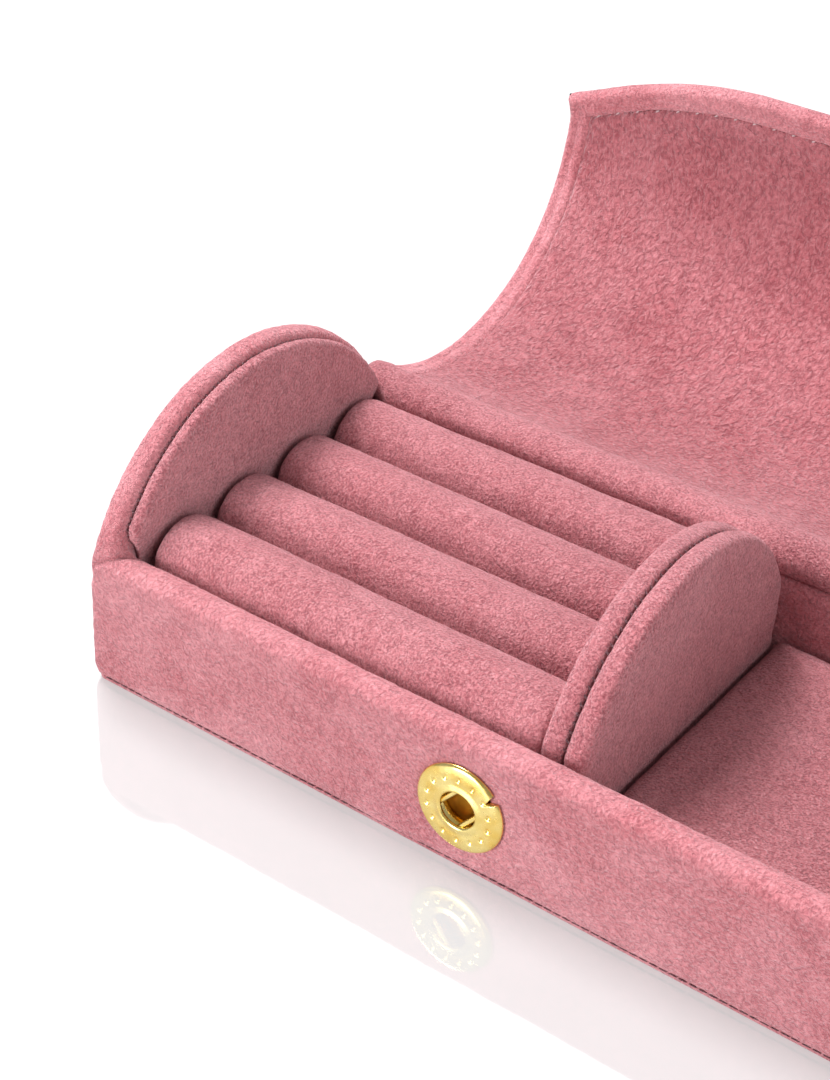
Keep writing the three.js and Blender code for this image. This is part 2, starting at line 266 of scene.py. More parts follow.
def lining_outline(inset, steps=110):
    """(y, z) points of an end's lining: an arc whose feet tuck in behind the walls."""
    half_width = box_mm("left_lining_pad")[1].y - inset
    bottom = box_mm("left_lining_pad")[0].z + inset
    radius = LINING_ARC_RADIUS - inset
    start = math.asin((LINING_FOOT_HEIGHT + 4.2 - LINING_ARC_HEIGHT) / radius)
    shoulder = radius * math.cos(start)
    foot = [
        (half_width, bottom),
        (half_width, LINING_FOOT_HEIGHT - 1),
        (half_width + 0.25 * (shoulder - half_width), LINING_FOOT_HEIGHT + 1),
        (half_width + 0.8 * (shoulder - half_width), LINING_FOOT_HEIGHT + 2.8),
    ]
    points = list(foot)
    for k in range(steps + 1):
        angle = start + (math.pi - 2 * start) * k / steps
        points.append((radius * math.cos(angle), LINING_ARC_HEIGHT + radius * math.sin(angle)))
    return points + [(-y, z) for y, z in reversed(foot)]


def slab(name, x0, x1, y0, y1, z0, z1, corner, rim, steps=4):
    """Flat pad with rounded corners in plan and rounded rims above and below."""
    rings = []
    for k in range(steps + 1):
        angle = math.pi / 2 * k / steps
        rings.append((z0 + rim * (1 - math.cos(angle)), rim * (1 - math.sin(angle))))
    rings += [(z0 + z1 - z, inset) for z, inset in reversed(rings)]
    radii = (corner, corner, corner)
    return ring_skin(
        name, [[(x, y, z) for x, y in rounded_rect(x0, x1, y0, y1, radii, i)] for z, i in rings]
    )


def smooth_step(value, low, high):
    t = min(1.0, max(0.0, (value - low) / (high - low)))
    return t * t * (3 - 2 * t)


def groove(piece, lines, depth, width):
    """Creases pressed along straight lines between points in millimetres."""
    spans = [(Vector(a), Vector(b)) for a, b in lines]

    def offset(point, normal):
        deepest = 0.0
        for a, b in spans:
            along = b - a
            t = min(1.0, max(0.0, (point - a).dot(along) / along.length_squared))
            away = point - a - along * t
            over = away.dot(normal)
            if abs(over) < 2.5:
                distance = (away - normal * over).length
                deepest = max(deepest, math.exp(-((distance / width) ** 2)))
        return -depth * deepest

    push(piece, offset)


def stitches(name, marks, radius, material, body, slot):
    """Short rounded threads; marks are pairs of end points in millimetres."""
    points, faces = [], []
    for a, b in marks:
        a, b = Vector(a), Vector(b)
        along = (b - a).normalized()
        side = along.orthogonal().normalized()
        other = along.cross(side)
        base = len(points)
        profile = ((0.0, 0.25), (0.12, 0.8), (0.5, 1.0), (0.88, 0.8), (1.0, 0.25))
        for t, size in profile:
            for k in range(8):
                turn = 2 * math.pi * k / 8
                spoke = side * math.cos(turn) + other * math.sin(turn)
                points.append(a + (b - a) * t + spoke * radius * size)
        for r in range(len(profile) - 1):
            for k in range(8):
                k2 = (k + 1) % 8
                row = base + 8 * r
                faces.append((row + k, row + k2, row + 8 + k2, row + 8 + k))
        faces.append(tuple(base + k for k in range(8)))
        faces.append(tuple(base + 8 * (len(profile) - 1) + k for k in range(8)))
    thread = new_piece(name, points, faces)
    return finish_piece(thread, body, material, slot)


def inflate(piece, pressure, cap, hold, grow=40.0, frames=20):
    """Cloth with air pressure inside it; hold(point in mm) from 0 to 1 pins a point."""
    rest = [vertex.co.copy() for vertex in piece.data.vertices]
    piece.data.transform(Matrix.Scale(grow, 4))
    pins = piece.vertex_groups.new(name="pins")
    for vertex, place in zip(piece.data.vertices, rest):
        pins.add([vertex.index], hold(place / MM), "REPLACE")
    cloth = piece.modifiers.new("cloth", "CLOTH")
    cloth.settings.quality = 5
    cloth.settings.mass = 0.3
    cloth.settings.use_pressure = True
    cloth.settings.uniform_pressure_force = pressure
    cloth.settings.effector_weights.gravity = 0
    cloth.settings.vertex_group_mass = "pins"
    cloth.collision_settings.use_collision = False
    scene = bpy.context.scene
    for step in range(1, frames + 1):
        scene.frame_set(step)
    settle(piece)
    scene.frame_set(1)
    piece.data.transform(Matrix.Scale(1 / grow, 4))
    piece.vertex_groups.clear()
    for vertex, place in zip(piece.data.vertices, rest):
        move = vertex.co - place
        if move.length > cap * MM:
            vertex.co = place + move.normalized() * cap * MM
    piece.data.update()


# ---------------------------------------------------------------- materials


def new_material(name):
    material = bpy.data.materials.new(name)
    material.use_nodes = True
    nodes = material.node_tree.nodes
    return material, nodes, material.node_tree.links, nodes["Principled BSDF"]


def node(nodes, kind, **values):
    made = nodes.new(kind)
    for name, value in values.items():
        if name in made.inputs:
            made.inputs[name].default_value = value
        else:
            setattr(made, name, value)
    return made


def mix_colour(nodes, links, factor, low, high):
    mixed = nodes.new("ShaderNodeMix")
    mixed.data_type = "RGBA"
    links.new(factor, mixed.inputs[0])
    for value, socket in ((low, mixed.inputs[6]), (high, mixed.inputs[7])):
        if hasattr(value, "links"):
            links.new(value, socket)
        else:
            socket.default_value = value
    return mixed.outputs[2]


def stops(nodes, links, factor, *levels):
    """Colour ramp through (position, colour) levels."""
    ramp = nodes.new("ShaderNodeValToRGB")
    elements = ramp.color_ramp.elements
    while len(elements) < len(levels):
        elements.new(0.5)
    for element, (position, colour) in zip(elements, levels):
        element.position = position
        element.color = colour
    links.new(factor, ramp.inputs["Fac"])
    return ramp.outputs["Color"]


def grey(value):
    return (value, value, value, 1.0)


def velvet_material(name, pit_shade, body, tip_highlight_and_nap, pile=1.0, relief=1.25, patches=0.3, drawn=(1, 1, 1)):
    """Short velvet pile: tufts and fibres at pile mm, painted shade in the pits between them, a
    painted highlight on the tufts' tips, and brushed patches.
    """
    material, nodes, links, shader = new_material(name)
    place = nodes.new("ShaderNodeTexCoord").outputs["Object"]
    along = node(nodes, "ShaderNodeMapping")
    along.inputs["Scale"].default_value = drawn
    links.new(place, along.inputs["Vector"])
    curl = node(nodes, "ShaderNodeTexNoise", Scale=900.0 / pile, Detail=2.0)
    links.new(along.outputs["Vector"], curl.inputs["Vector"])
    bent = node(nodes, "ShaderNodeVectorMath", operation="MULTIPLY_ADD")
    bent.inputs[1].default_value = (0.0009 * pile,) * 3
    links.new(curl.outputs["Color"], bent.inputs[0])
    links.new(along.outputs["Vector"], bent.inputs[2])
    cells = node(nodes, "ShaderNodeTexVoronoi", Scale=1500.0 / pile)
    tufts = node(nodes, "ShaderNodeTexNoise", Scale=2250.0 / pile, Detail=1.5)
    fibres = node(nodes, "ShaderNodeTexNoise", Scale=4200.0 / pile, Detail=2.0, Roughness=0.7)
    clumps = node(nodes, "ShaderNodeTexNoise", Scale=420.0 / pile, Detail=3.0, Distortion=0.4)
    for texture in (cells, tufts, fibres, clumps):
        links.new(bent.outputs["Vector"], texture.inputs["Vector"])
    brushed = node(nodes, "ShaderNodeTexNoise", Scale=75.0, Detail=3.0, Distortion=0.5)
    links.new(place, brushed.inputs["Vector"])

    height = add_up(
        nodes, links, 0.2, (cells.outputs["Distance"], -0.16), (tufts.outputs["Fac"], 0.5),
        (fibres.outputs["Fac"], 0.3), (clumps.outputs["Fac"], 0.18),
    )
    # The pile's height sets its colour: painted shade in the pits, painted highlight on the tips.
    pile_shade_and_highlight = stops(nodes, links, height, (0.51, pit_shade), (0.63, body), (0.80, tip_highlight_and_nap))
    nap = stops(nodes, links, brushed.outputs["Fac"], (0.36, grey(0.0)), (0.68, grey(1.0)))
    brushed_colour = mix_colour(nodes, links, nap, body, tip_highlight_and_nap)
    colour = nodes.new("ShaderNodeMix")
    colour.data_type = "RGBA"
    colour.inputs[0].default_value = patches
    links.new(pile_shade_and_highlight, colour.inputs[6])
    links.new(brushed_colour, colour.inputs[7])
    links.new(colour.outputs[2], shader.inputs["Base Color"])

    bump = node(nodes, "ShaderNodeBump", Strength=1.0, Distance=0.0009 * relief)
    links.new(height, bump.inputs["Height"])
    links.new(bump.outputs["Normal"], shader.inputs["Normal"])
    shader.inputs["Roughness"].default_value = 0.95
    shader.inputs["Specular IOR Level"].default_value = 0.1
    shader.inputs["Sheen Weight"].default_value = 0.5
    shader.inputs["Sheen Roughness"].default_value = 0.4
    shader.inputs["Sheen Tint"].default_value = (1.0, 0.75, 0.8, 1.0)
    return material


def add_up(nodes, links, start, *parts):
    """start plus the weighted sum of (socket, weight) parts."""
    total = None
    for socket, weight in parts:
        step = node(nodes, "ShaderNodeMath", operation="MULTIPLY_ADD")
        links.new(socket, step.inputs[0])
        step.inputs[1].default_value = weight
        step.inputs[2].default_value = start
        if total is not None:
            links.new(total, step.inputs[2])
        total = step.outputs[0]
    return total


def gold_material(name, roughness, low=(0.90, 0.61, 0.15, 1), high=(1.0, 0.80, 0.31, 1)):
    """Bright gold plating with faint scuffs."""
    material, nodes, links, shader = new_material(name)
    place = nodes.new("ShaderNodeTexCoord").outputs["Object"]
    scuffs = node(nodes, "ShaderNodeTexNoise", Scale=1400.0, Detail=5.0, Roughness=0.7)
    links.new(place, scuffs.inputs["Vector"])
    clouds = node(nodes, "ShaderNodeTexNoise", Scale=260.0, Detail=2.0)
    links.new(place, clouds.inputs["Vector"])
    colour = stops(
        nodes,
        links,
        clouds.outputs["Fac"],
        (0.35, low),
        (0.62, high),
    )
    links.new(colour, shader.inputs["Base Color"])
    rough = stops(
        nodes,
        links,
        scuffs.outputs["Fac"],
        (0.35, grey(roughness)),
        (0.75, grey(roughness + 0.125)),
    )
    links.new(rough, shader.inputs["Roughness"])
    bump = node(nodes, "ShaderNodeBump", Strength=0.12, Distance=0.0002)
    links.new(clouds.outputs["Fac"], bump.inputs["Height"])
    links.new(bump.outputs["Normal"], shader.inputs["Normal"])
    shader.inputs["Metallic"].default_value = 1.0
    return material


def board_material(name, low, high, scale):
    """Grey card or foam seen only if the velvet is taken off."""
    material, nodes, links, shader = new_material(name)
    place = nodes.new("ShaderNodeTexCoord").outputs["Object"]
    specks = node(nodes, "ShaderNodeTexNoise", Scale=scale, Detail=6.0, Roughness=0.75)
    links.new(place, specks.inputs["Vector"])
    colour = stops(nodes, links, specks.outputs["Fac"], (0.35, low), (0.7, high))
    links.new(colour, shader.inputs["Base Color"])
    bump = node(nodes, "ShaderNodeBump", Strength=0.4, Distance=0.0002)
    links.new(specks.outputs["Fac"], bump.inputs["Height"])
    links.new(bump.outputs["Normal"], shader.inputs["Normal"])
    shader.inputs["Roughness"].default_value = 0.9
    return material


# The pit colour is painted shade between the tufts. The tip colour is a painted highlight on their
# tips and also the lighter tone of the brushed patches.
PIT_PAINTED_SHADE = (0.28, 0.062, 0.080, 1)
BODY = (0.55, 0.180, 0.202, 1)
TIP_HIGHLIGHT_AND_NAP = (0.79, 0.35, 0.385, 1)
VELVET = velvet_material("velvet_short_pile", PIT_PAINTED_SHADE, BODY, TIP_HIGHLIGHT_AND_NAP, pile=0.75, patches=0.2)
WRAP = velvet_material("velvet_brushed_wrap", PIT_PAINTED_SHADE, BODY, TIP_HIGHLIGHT_AND_NAP, pile=1.0, patches=0.45)
# The lid lining is a darker copy of the velvet: painted shade for the less-lit lid.
SHADED_LINING = velvet_material(
    "velvet_lid_lining_painted_shade", (0.22, 0.044, 0.058, 1), (0.42, 0.125, 0.142, 1), (0.58, 0.23, 0.255, 1),
    pile=1.3, relief=1.7, patches=0.35, drawn=(1.0, 0.75, 0.75),
)
# The stitches are real, but their near-black colour is painted shade for the seams they cross.
SHADED_SEAM_THREAD = velvet_material(
    "seam_thread", (0.06, 0.012, 0.018, 1), (0.13, 0.03, 0.04, 1), (0.24, 0.07, 0.09, 1), pile=0.4
)
PALE_THREAD = velvet_material(
    "pale_thread", (0.6, 0.3, 0.33, 1), (0.88, 0.66, 0.68, 1), (0.97, 0.85, 0.85, 1), pile=0.4
)
GOLD = gold_material("gold_plate", 0.2)
GOLD_WIRE = gold_material("gold_wire", 0.22)
# The cup inside the socket gets a much darker gold: painted shade down in the hole.
GOLD_CUP_SHADE = gold_material(
    "gold_inside_cup_painted_shade", 0.35, low=(0.34, 0.14, 0.012, 1), high=(0.62, 0.30, 0.04, 1)
)
BOARD = board_material("grey_board", (0.16, 0.14, 0.11, 1), (0.34, 0.31, 0.26, 1), 1500.0)
FOAM = board_material("foam", (0.55, 0.5, 0.42, 1), (0.78, 0.74, 0.66, 1), 2600.0)


def finish_piece(piece, body, material, slot, *replaced):
    """Material, the body it rides on, and the CAD nodes it stands for."""
    piece.data.materials.clear()
    piece.data.materials.append(material)
    if body:
        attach(piece, body)
    if replaced:
        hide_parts(*replaced)
    return piece


# ---------------------------------------------------------------- base


def wrap_velvet():
    """The one velvet wrap round the four walls and the two arched ends."""
    front_low, front_high = box_mm("front_cover")
    end_low, end_high = box_mm("right_end_cover")
    reach = end_high.x + 0.3
    bottom = front_low.z - 0.6
    depth = front_high.y - front_low.y
    walls = []
    for name, y0, y1, top, radii in (
        ("front", end_low.y, end_low.y + depth, front_high.z + 1.1, (2.3, 2.4, 0.8)),
        ("back", end_high.y - depth, end_high.y, front_high.z, (1.4, 1.2, 0.9)),
    ):
        def outline(inset, y0=y0, y1=y1, top=top, radii=radii):
            return rounded_rect(y0, y1, bottom, top, radii, inset)

        walls.append(rounded_panel(name, outline, -reach, reach, 1.2))
    ends = []
    for side in ("left", "right"):
        low, high = box_mm(side + "_end_cover")
        ends.append(end_panel(side, low.x, high.x, bottom))
    wrap = join(walls + ends, "tray_wrap_velvet")
    remesh(wrap, 0.8, smooth=4)
    subdivide(wrap)
    push(wrap, softness(0.17, 0.08))
    groove(wrap, corner_darts(), depth=0.8, width=0.5)
    drill(wrap, snap_centre(), radius=5.6, depth=1.9)
    finish_piece(
        wrap, "base", WRAP, "velvet", "front_cover", "back_cover", "left_end_cover",
        "right_end_cover",
    )


def end_panel(side, x0, x1, bottom):
    """Arched end, with its outer face 0.3 mm proud of the board's cover."""
    if side == "left":
        x0 -= 0.3
    else:
        x1 += 0.3
    return rounded_panel(side, lambda inset: end_arch(bottom, inset), x0, x1, 1.35)


def corner_darts():
    """Where the wrap is folded at each corner, from the outer corner to the lining's foot."""
    low, high = box_mm("right_end_cover")
    lines = []
    for side in (-1, 1):
        for end in (-1, 1):
            outer = (side * (high.x - 0.5), end * (high.y - 0.1), END_SHOULDER + 0.3)
            middle = (side * (low.x + 0.6), end * (high.y - 1.0), END_SHOULDER + 1.9)
            inner = (side * (low.x - 1.6), end * (high.y - 4.2), END_SHOULDER + 1.9)
            below = (side * (high.x + 0.1), end * (high.y - 0.3), END_SHOULDER - 2.6)
            lines += [(outer, middle), (middle, inner)]
            if end < 0:
                lines.append((outer, below))
    return lines


def drill(piece, centre, radius, depth):
    """Round hole into a face that looks along -Y."""
    hole = bpy.data.objects.new("hole", bpy.data.meshes.new("hole"))
    bpy.context.scene.collection.objects.link(hole)
    shape = bmesh.new()
    bmesh.ops.create_cone(
        shape,
        cap_ends=True,
        segments=64,
        radius1=radius * MM,
        radius2=radius * MM,
        depth=2 * depth * MM,
        matrix=Matrix.Translation(centre * MM) @ Matrix.Rotation(math.pi / 2, 4, "X"),
    )
    shape.to_mesh(hole.data)
    shape.free()
    cut = piece.modifiers.new("cut", "BOOLEAN")
    cut.operation = "DIFFERENCE"
    cut.solver = "EXACT"
    cut.object = hole
    settle(piece)
    bpy.data.objects.remove(hole)


def snap_centre():
    """The snap's axis, where it meets the front cover."""
    low, high = box_mm("snap_socket")
    return Vector((0.0, box_mm("front_cover")[0].y, (low.z + high.z) / 2))


def bottom_velvet():
    """The panel glued under the walls, a little inside their outline."""
    low, high = box_mm("bottom_cover")
    inset = 0.45
    panel = slab(
        "bottom_velvet", low.x + inset, high.x - inset, low.y + inset, high.y - inset,
        low.z, high.z, 1.6, 0.4,
    )
    finish_piece(panel, "base", WRAP, "velvet_shade", "bottom_cover")
    y = low.y + 0.32
    z = high.z - 0.1
    marks = []
    x = low.x + 2.5
    while x < high.x - 2.5:
        marks.append(((x, y, z), (x + 1.3, y, z + 0.05)))
        x += 1.5
    stitches("bottom_seam_thread", marks, 0.1, SHADED_SEAM_THREAD, "base", "velvet_shade")


def lining_pads():
    """The padded D inside each end, and the whip stitches that join it to the wrap."""
    for side, away in (("left", -1), ("right", 1)):
        low, high = box_mm(side + "_lining_pad")
        pad = rounded_panel(side + "_lining_velvet", lining_outline, low.x, high.x, 0.65)
        remesh(pad, 0.6, smooth=2)
        inflate(pad, 2.0, 0.2, lambda p: 1.0 if p.z < 12 else 0.0)
        subdivide(pad)
        press_in(pad, away, (low.x + high.x) / 2)
        push(pad, softness(0.09, 0.06, seed=3.0))
        finish_piece(pad, "base", VELVET, "velvet", side + "_lining_pad")
        seam = (high.x if away > 0 else low.x) + 0.1 * away
        arc = [(y, z) for y, z in lining_outline(0.62, 74) if z > LINING_FOOT_HEIGHT + 1]
        whip(side + "_lining_thread", arc, seam, 0.62)


def press_in(pad, away, middle):
    """The rolls squeeze the lower part of the lining's inner face."""
    for vertex in pad.data.vertices:
        point = vertex.co / MM
        if away * (point.x - middle) < 0:
            squeeze = 1.15 * (1 - smooth_step(point.z, 18.5, 27.0))
            vertex.co.x += away * squeeze * min(1.0, away * (middle - point.x)) * MM
        vertex.co.x += 0.2 * away * MM
    pad.data.update()


def whip(name, arc, seam, reach):
    """Slanted threads that cross a seam lying in the plane x = seam."""
    marks = []
    for (y, z), (y2, z2) in zip(arc, arc[1:]):
        marks.append(((seam - reach, y, z), (seam + reach, (y + y2) / 2, (z + z2) / 2)))
    stitches(name, marks, 0.15, SHADED_SEAM_THREAD, "base", "velvet_shade")


def dividers():
    """Two padded halves, back to back, whipped together along the top."""
    for side in ("left", "right"):
        low, high = box_mm("divider_" + side + "_pad")

        def outline(inset):
            return arch(high.y, low.z, DIVIDER_ARC_RADIUS, DIVIDER_ARC_HEIGHT, inset)

        pad = rounded_panel("divider_" + side + "_velvet", outline, low.x - 0.1, high.x + 0.1, 1.25)
        remesh(pad, 0.7, smooth=2)
        inflate(pad, 2.0, 0.2, lambda p: 1.0 if p.z < 12 else 0.0)
        subdivide(pad)
        push(pad, softness(0.1, 0.06, seed=5.0))
        finish_piece(pad, "base", VELVET, "velvet", "divider_" + side + "_pad")
    seam = (box_mm("divider_left_pad")[1].x + box_mm("divider_right_pad")[0].x) / 2
    half_width = box_mm("divider_left_pad")[1].y
    arc = arch(half_width, 0, DIVIDER_ARC_RADIUS, DIVIDER_ARC_HEIGHT, 1.0, 54)[2:]
    whip("divider_thread", arc, seam, 0.7)


def ring_rolls():
    """Four foam rolls in velvet; the back ones are packed a little higher."""
    for index in range(1, 5):
        low, high = box_mm("ring_roll_" + str(index))
        middle = (low + high) / 2
        radius = (high.z - low.z) / 2 + 0.08
        rise = 0.22 * (index - 1)
        back = 0.15 * (index - 1)

        def outline(inset):
            points = []
            for k in range(48):
                angle = 2 * math.pi * k / 48
                c, s = math.cos(angle), math.sin(angle)
                reach = (abs(c) ** 2.06 + abs(s) ** 2.06) ** (-1 / 2.06)
                size = (radius - inset) * reach
                points.append((middle.y + back + size * c, middle.z + rise + size * s))
            return points

        roll = rounded_panel(
            "ring_roll_velvet_" + str(index), outline, low.x + 0.2, high.x + 0.7, 1.3
        )
        remesh(roll, 0.9, smooth=3)
        inflate(roll, 3.0, 0.25, lambda p: 1.0 if p.z < 15 else 0.0)
        subdivide(roll)
        push(roll, softness(0.2, 0.07, seed=7.0 * index))
        finish_piece(roll, "base", VELVET, "velvet", "ring_roll_" + str(index))


def floor_pads():
    """The bed under the rolls and the floor of the open compartment."""
    for name, under, slot, material in (
        ("ring_bed_foam", "ring_platform", "foam", FOAM),
        ("compartment_floor_velvet", "compartment_floor", "velvet_shade", VELVET),
    ):
        low, high = box_mm(under)
        pad = slab(name, low.x, high.x, low.y, high.y, low.z, high.z, 1.0, 1.0)
        remesh(pad, 1.2, smooth=2)
        inflate(pad, 2.0, 0.5, lambda p: 1.0 if p.z < 8 else 0.0)
        push(pad, softness(0.25, 0.06, seed=11.0))
        finish_piece(pad, "base", material, slot, under)


# ---------------------------------------------------------------- lid


def swing(point):
    """A point of the closed lid, in mm, moved to the open rest pose."""
    pivot = Vector(HINGE["pos_m"]) / MM
    angle = -math.radians(HINGE["range_deg"][1])
    return pivot + Matrix.Rotation(angle, 3, "X") @ (Vector(point) - pivot)


def lid_reach(x):
    """Arc length to the front edge, shorter towards the two corners."""
    from_end = CAD_BOUNDS[1][0] / MM - abs(x)
    slack = max(0.0, 1 - from_end / LID_CORNER_LENGTH)
    return LID_ARC_LENGTH - LID_CORNER_DROP * slack * slack


def lid_point(x, arc, radius):
    """A point of the open lid at arc mm round from the hinge and radius from its axis."""
    angle = math.radians(LID_START_ANGLE) + arc / LID_INNER_RADIUS
    return swing((x, radius * math.cos(angle), END_ARC_HEIGHT + radius * math.sin(angle)))


def graded(count, edge, fine):
    """Values from 0 to 1, closer together within edge of both ends."""
    ends = [edge * k / fine for k in range(fine)]
    middle = [edge + (1 - 2 * edge) * k / count for k in range(count + 1)]
    return ends + middle + [1 - e for e in reversed(ends)]


def wrapped_slab(name, half_x, start, reach, inner, outer, columns, rows, flare=0.0):
    """Closed slab round the lid's axis. inner and outer give radii at (x, arc, dx, da, db)."""
    us, vs = columns, rows
    grids = []
    for surface in (inner, outer):
        grid = []
        for u in us:
            x = half_x * (2 * u - 1)
            line = []
            for v in vs:
                end = reach(x)
                arc = start + (end - start) * v
                dx, rear, front = half_x - abs(x), arc - start, end - arc
                wide = x + math.copysign(flare * math.exp(-((front / 2.4) ** 2)), x) * (
                    math.exp(-((dx / 4.0) ** 2))
                )
                line.append(lid_point(wide, arc, surface(x, arc, dx, rear, front)))
            grid.append(line)
        grids.append(grid)
    n, m = len(us), len(vs)
    points = [p for grid in grids for line in grid for p in line]
    faces = []
    for g in range(2):
        base = g * n * m
        for i in range(n - 1):
            for j in range(m - 1):
                a = base + i * m + j
                faces.append((a, a + 1, a + m + 1, a + m))
    border = [(i, 0) for i in range(n)] + [(n - 1, j) for j in range(1, m)]
    border += [(i, m - 1) for i in range(n - 2, -1, -1)] + [(0, j) for j in range(m - 2, 0, -1)]
    for k, (i, j) in enumerate(border):
        i2, j2 = border[(k + 1) % len(border)]
        a, b = i * m + j, i2 * m + j2
        faces.append((a, b, n * m + b, n * m + a))
    return new_piece(name, points, faces)


def round_off(distance, width):
    """From 0 at an edge to 1 at width from it, as a quarter circle."""
    t = 1 - min(1.0, distance / width)
    return math.sqrt(max(0.0, 1 - t * t))


def bead(distance, start, width):
    """Height from 0 to 1 of a rounded ridge between start and start + width."""
    t = (distance - start) / width
    return math.sqrt(max(0.0, 1 - (2 * t - 1) ** 2)) if 0 < t < 1 else 0.0


def hem_height(dx, front):
    """How far the hem stands in from the lid's inner radius, in mm, or None inside it."""
    if front < dx and front < LID_FRONT_HEM:
        return 0.75 * bead(front, -0.4, LID_FRONT_HEM + 0.4)
    if dx < LID_SIDE_HEM:
        return max(0.75 * bead(dx, -0.3, 2.3), 0.6 * bead(dx, 1.9, 2.3))
    return None


def lid_outer_velvet():
    half_x = box_mm("lid_cover")[1].x
    middle = LID_INNER_RADIUS + LID_THICKNESS / 2

    def rim(dx, rear, front):
        """Half thickness eased to nothing at the edge."""
        return round_off(min(dx, front, rear), 1.5)

    def inner(x, arc, dx, rear, front):
        height = hem_height(dx, front)
        if height is None:
            return LID_INNER_RADIUS + 0.9
        edge = rim(dx, rear, front)
        top = LID_INNER_RADIUS + 0.5 - height
        return middle + (top - middle) * edge

    def outer(x, arc, dx, rear, front):
        return middle + LID_THICKNESS / 2 * rim(dx, rear, front)

    columns = graded(96, 0.036, 10)
    rows = graded(64, 0.062, 12)
    cover = wrapped_slab(
        "lid_outer_velvet", half_x, 0.0, lid_reach, inner, outer, columns, rows, flare=1.1
    )
    merge(cover)
    push(cover, softness(0.12, 0.05, seed=13.0))
    hem_threads()
    finish_piece(cover, "lid", WRAP, "velvet", "lid_cover")


def hem_threads():
    """Pale stitches that show now and then in the seam under the front hem."""
    marks = []
    x = -box_mm("lid_cover")[1].x + LID_SIDE_HEM + 1.5
    while x < box_mm("lid_cover")[1].x - LID_SIDE_HEM - 1.5:
        arc = lid_reach(x) - LID_FRONT_HEM - 0.12
        ahead = lid_reach(x + 0.75) - LID_FRONT_HEM + 0.12
        radius = LID_INNER_RADIUS + 0.28
        marks.append((lid_point(x, arc, radius), lid_point(x + 0.6, ahead, radius)))
        x += 3.0 + math.sin(1.7 * x)
    stitches("lid_hem_thread", marks, 0.14, PALE_THREAD, "lid", "velvet")


def merge(piece, distance=0.02):
    """Joins points closer than distance, in millimetres, and smooths the shading."""
    shape = bmesh.new()
    shape.from_mesh(piece.data)
    bmesh.ops.remove_doubles(shape, verts=shape.verts, dist=distance * MM)
    bmesh.ops.dissolve_degenerate(shape, edges=shape.edges, dist=distance * MM)
    bmesh.ops.recalc_face_normals(shape, faces=shape.faces)
    shape.to_mesh(piece.data)
    shape.free()
    for polygon in piece.data.polygons:
        polygon.use_smooth = True


def lid_lining_velvet():
    half_x = box_mm("lid_cover")[1].x - LID_SIDE_HEM + 0.1

    def reach(x):
        return lid_reach(x) - LID_FRONT_HEM + 0.1

    def inner(x, arc, dx, rear, front):
        return LID_INNER_RADIUS + 0.55 - 0.5 * round_off(min(dx, front), 1.6)

    def outer(x, arc, dx, rear, front):
        return LID_INNER_RADIUS + 0.85

    columns = graded(92, 0.03, 6)
    rows = graded(60, 0.05, 6)
    lining = wrapped_slab(
        "lid_lining_velvet", half_x, 0.6, reach, inner, outer, columns, rows
    )
    push(lining, softness(0.18, 0.07, seed=17.0))
    finish_piece(lining, "lid", SHADED_LINING, "velvet", "lid_lining")


def fold_limit(x, z, back):
    """How far forward, in y, the fold lies: tucked a little into the arches at its ends."""
    band = math.sqrt((END_ARC_RADIUS - 2.0) ** 2 - (z - END_ARC_HEIGHT) ** 2)
    pad = math.sqrt((LINING_ARC_RADIUS - 2.2) ** 2 - (z - LINING_ARC_HEIGHT) ** 2)
    limit = back - 5.9
    limit += (pad - limit) * smooth_step(abs(x), 61.0, 61.9)
    return limit + (band - limit) * smooth_step(abs(x), 63.6, 64.4)


def hinge_velvet():
    """The padded fold of velvet from the back wall's top over to the lid."""
    back = box_mm("hinge_strip")[1].y
    section = [
        (-5.5, 21.2), (-5.7, 23.5), (-5.2, 25.0), (-4.0, 26.1), (-2.2, 26.8), (-0.4, 26.9),
        (1.0, 26.3), (2.1, 25.2), (3.3, 24.2), (4.8, 23.5), (6.4, 22.8), (5.6, 22.3),
        (3.8, 22.9), (1.6, 23.2), (0.8, 21.8), (0.0, 21.0), (-2.8, 21.1),
    ]
    reach = box_mm("lid_cover")[1].x - 0.2
    rings = []
    for k in range(181):
        x = -reach + 2 * reach * k / 180
        size = 0.45 + 0.55 * round_off(reach - abs(x), 1.6)
        lump = 0.5 * math.exp(-(((abs(x) - 64.0) / 2.2) ** 2))
        ring = []
        for y, z in section:
            height = 21.4 + (z - 21.4) * size + lump * smooth_step(z, 23, 26)
            ring.append((x, max(back + y, fold_limit(x, height, back)), height))
        rings.append(ring)
    strip = ring_skin("hinge_velvet", rings)
    subdivide(strip, 1)
    push(strip, softness(0.25, 0.08, seed=19.0))
    finish_piece(strip, None, VELVET, "velvet", "hinge_strip")
    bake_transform(strip)


# ---------------------------------------------------------------- tab and snap


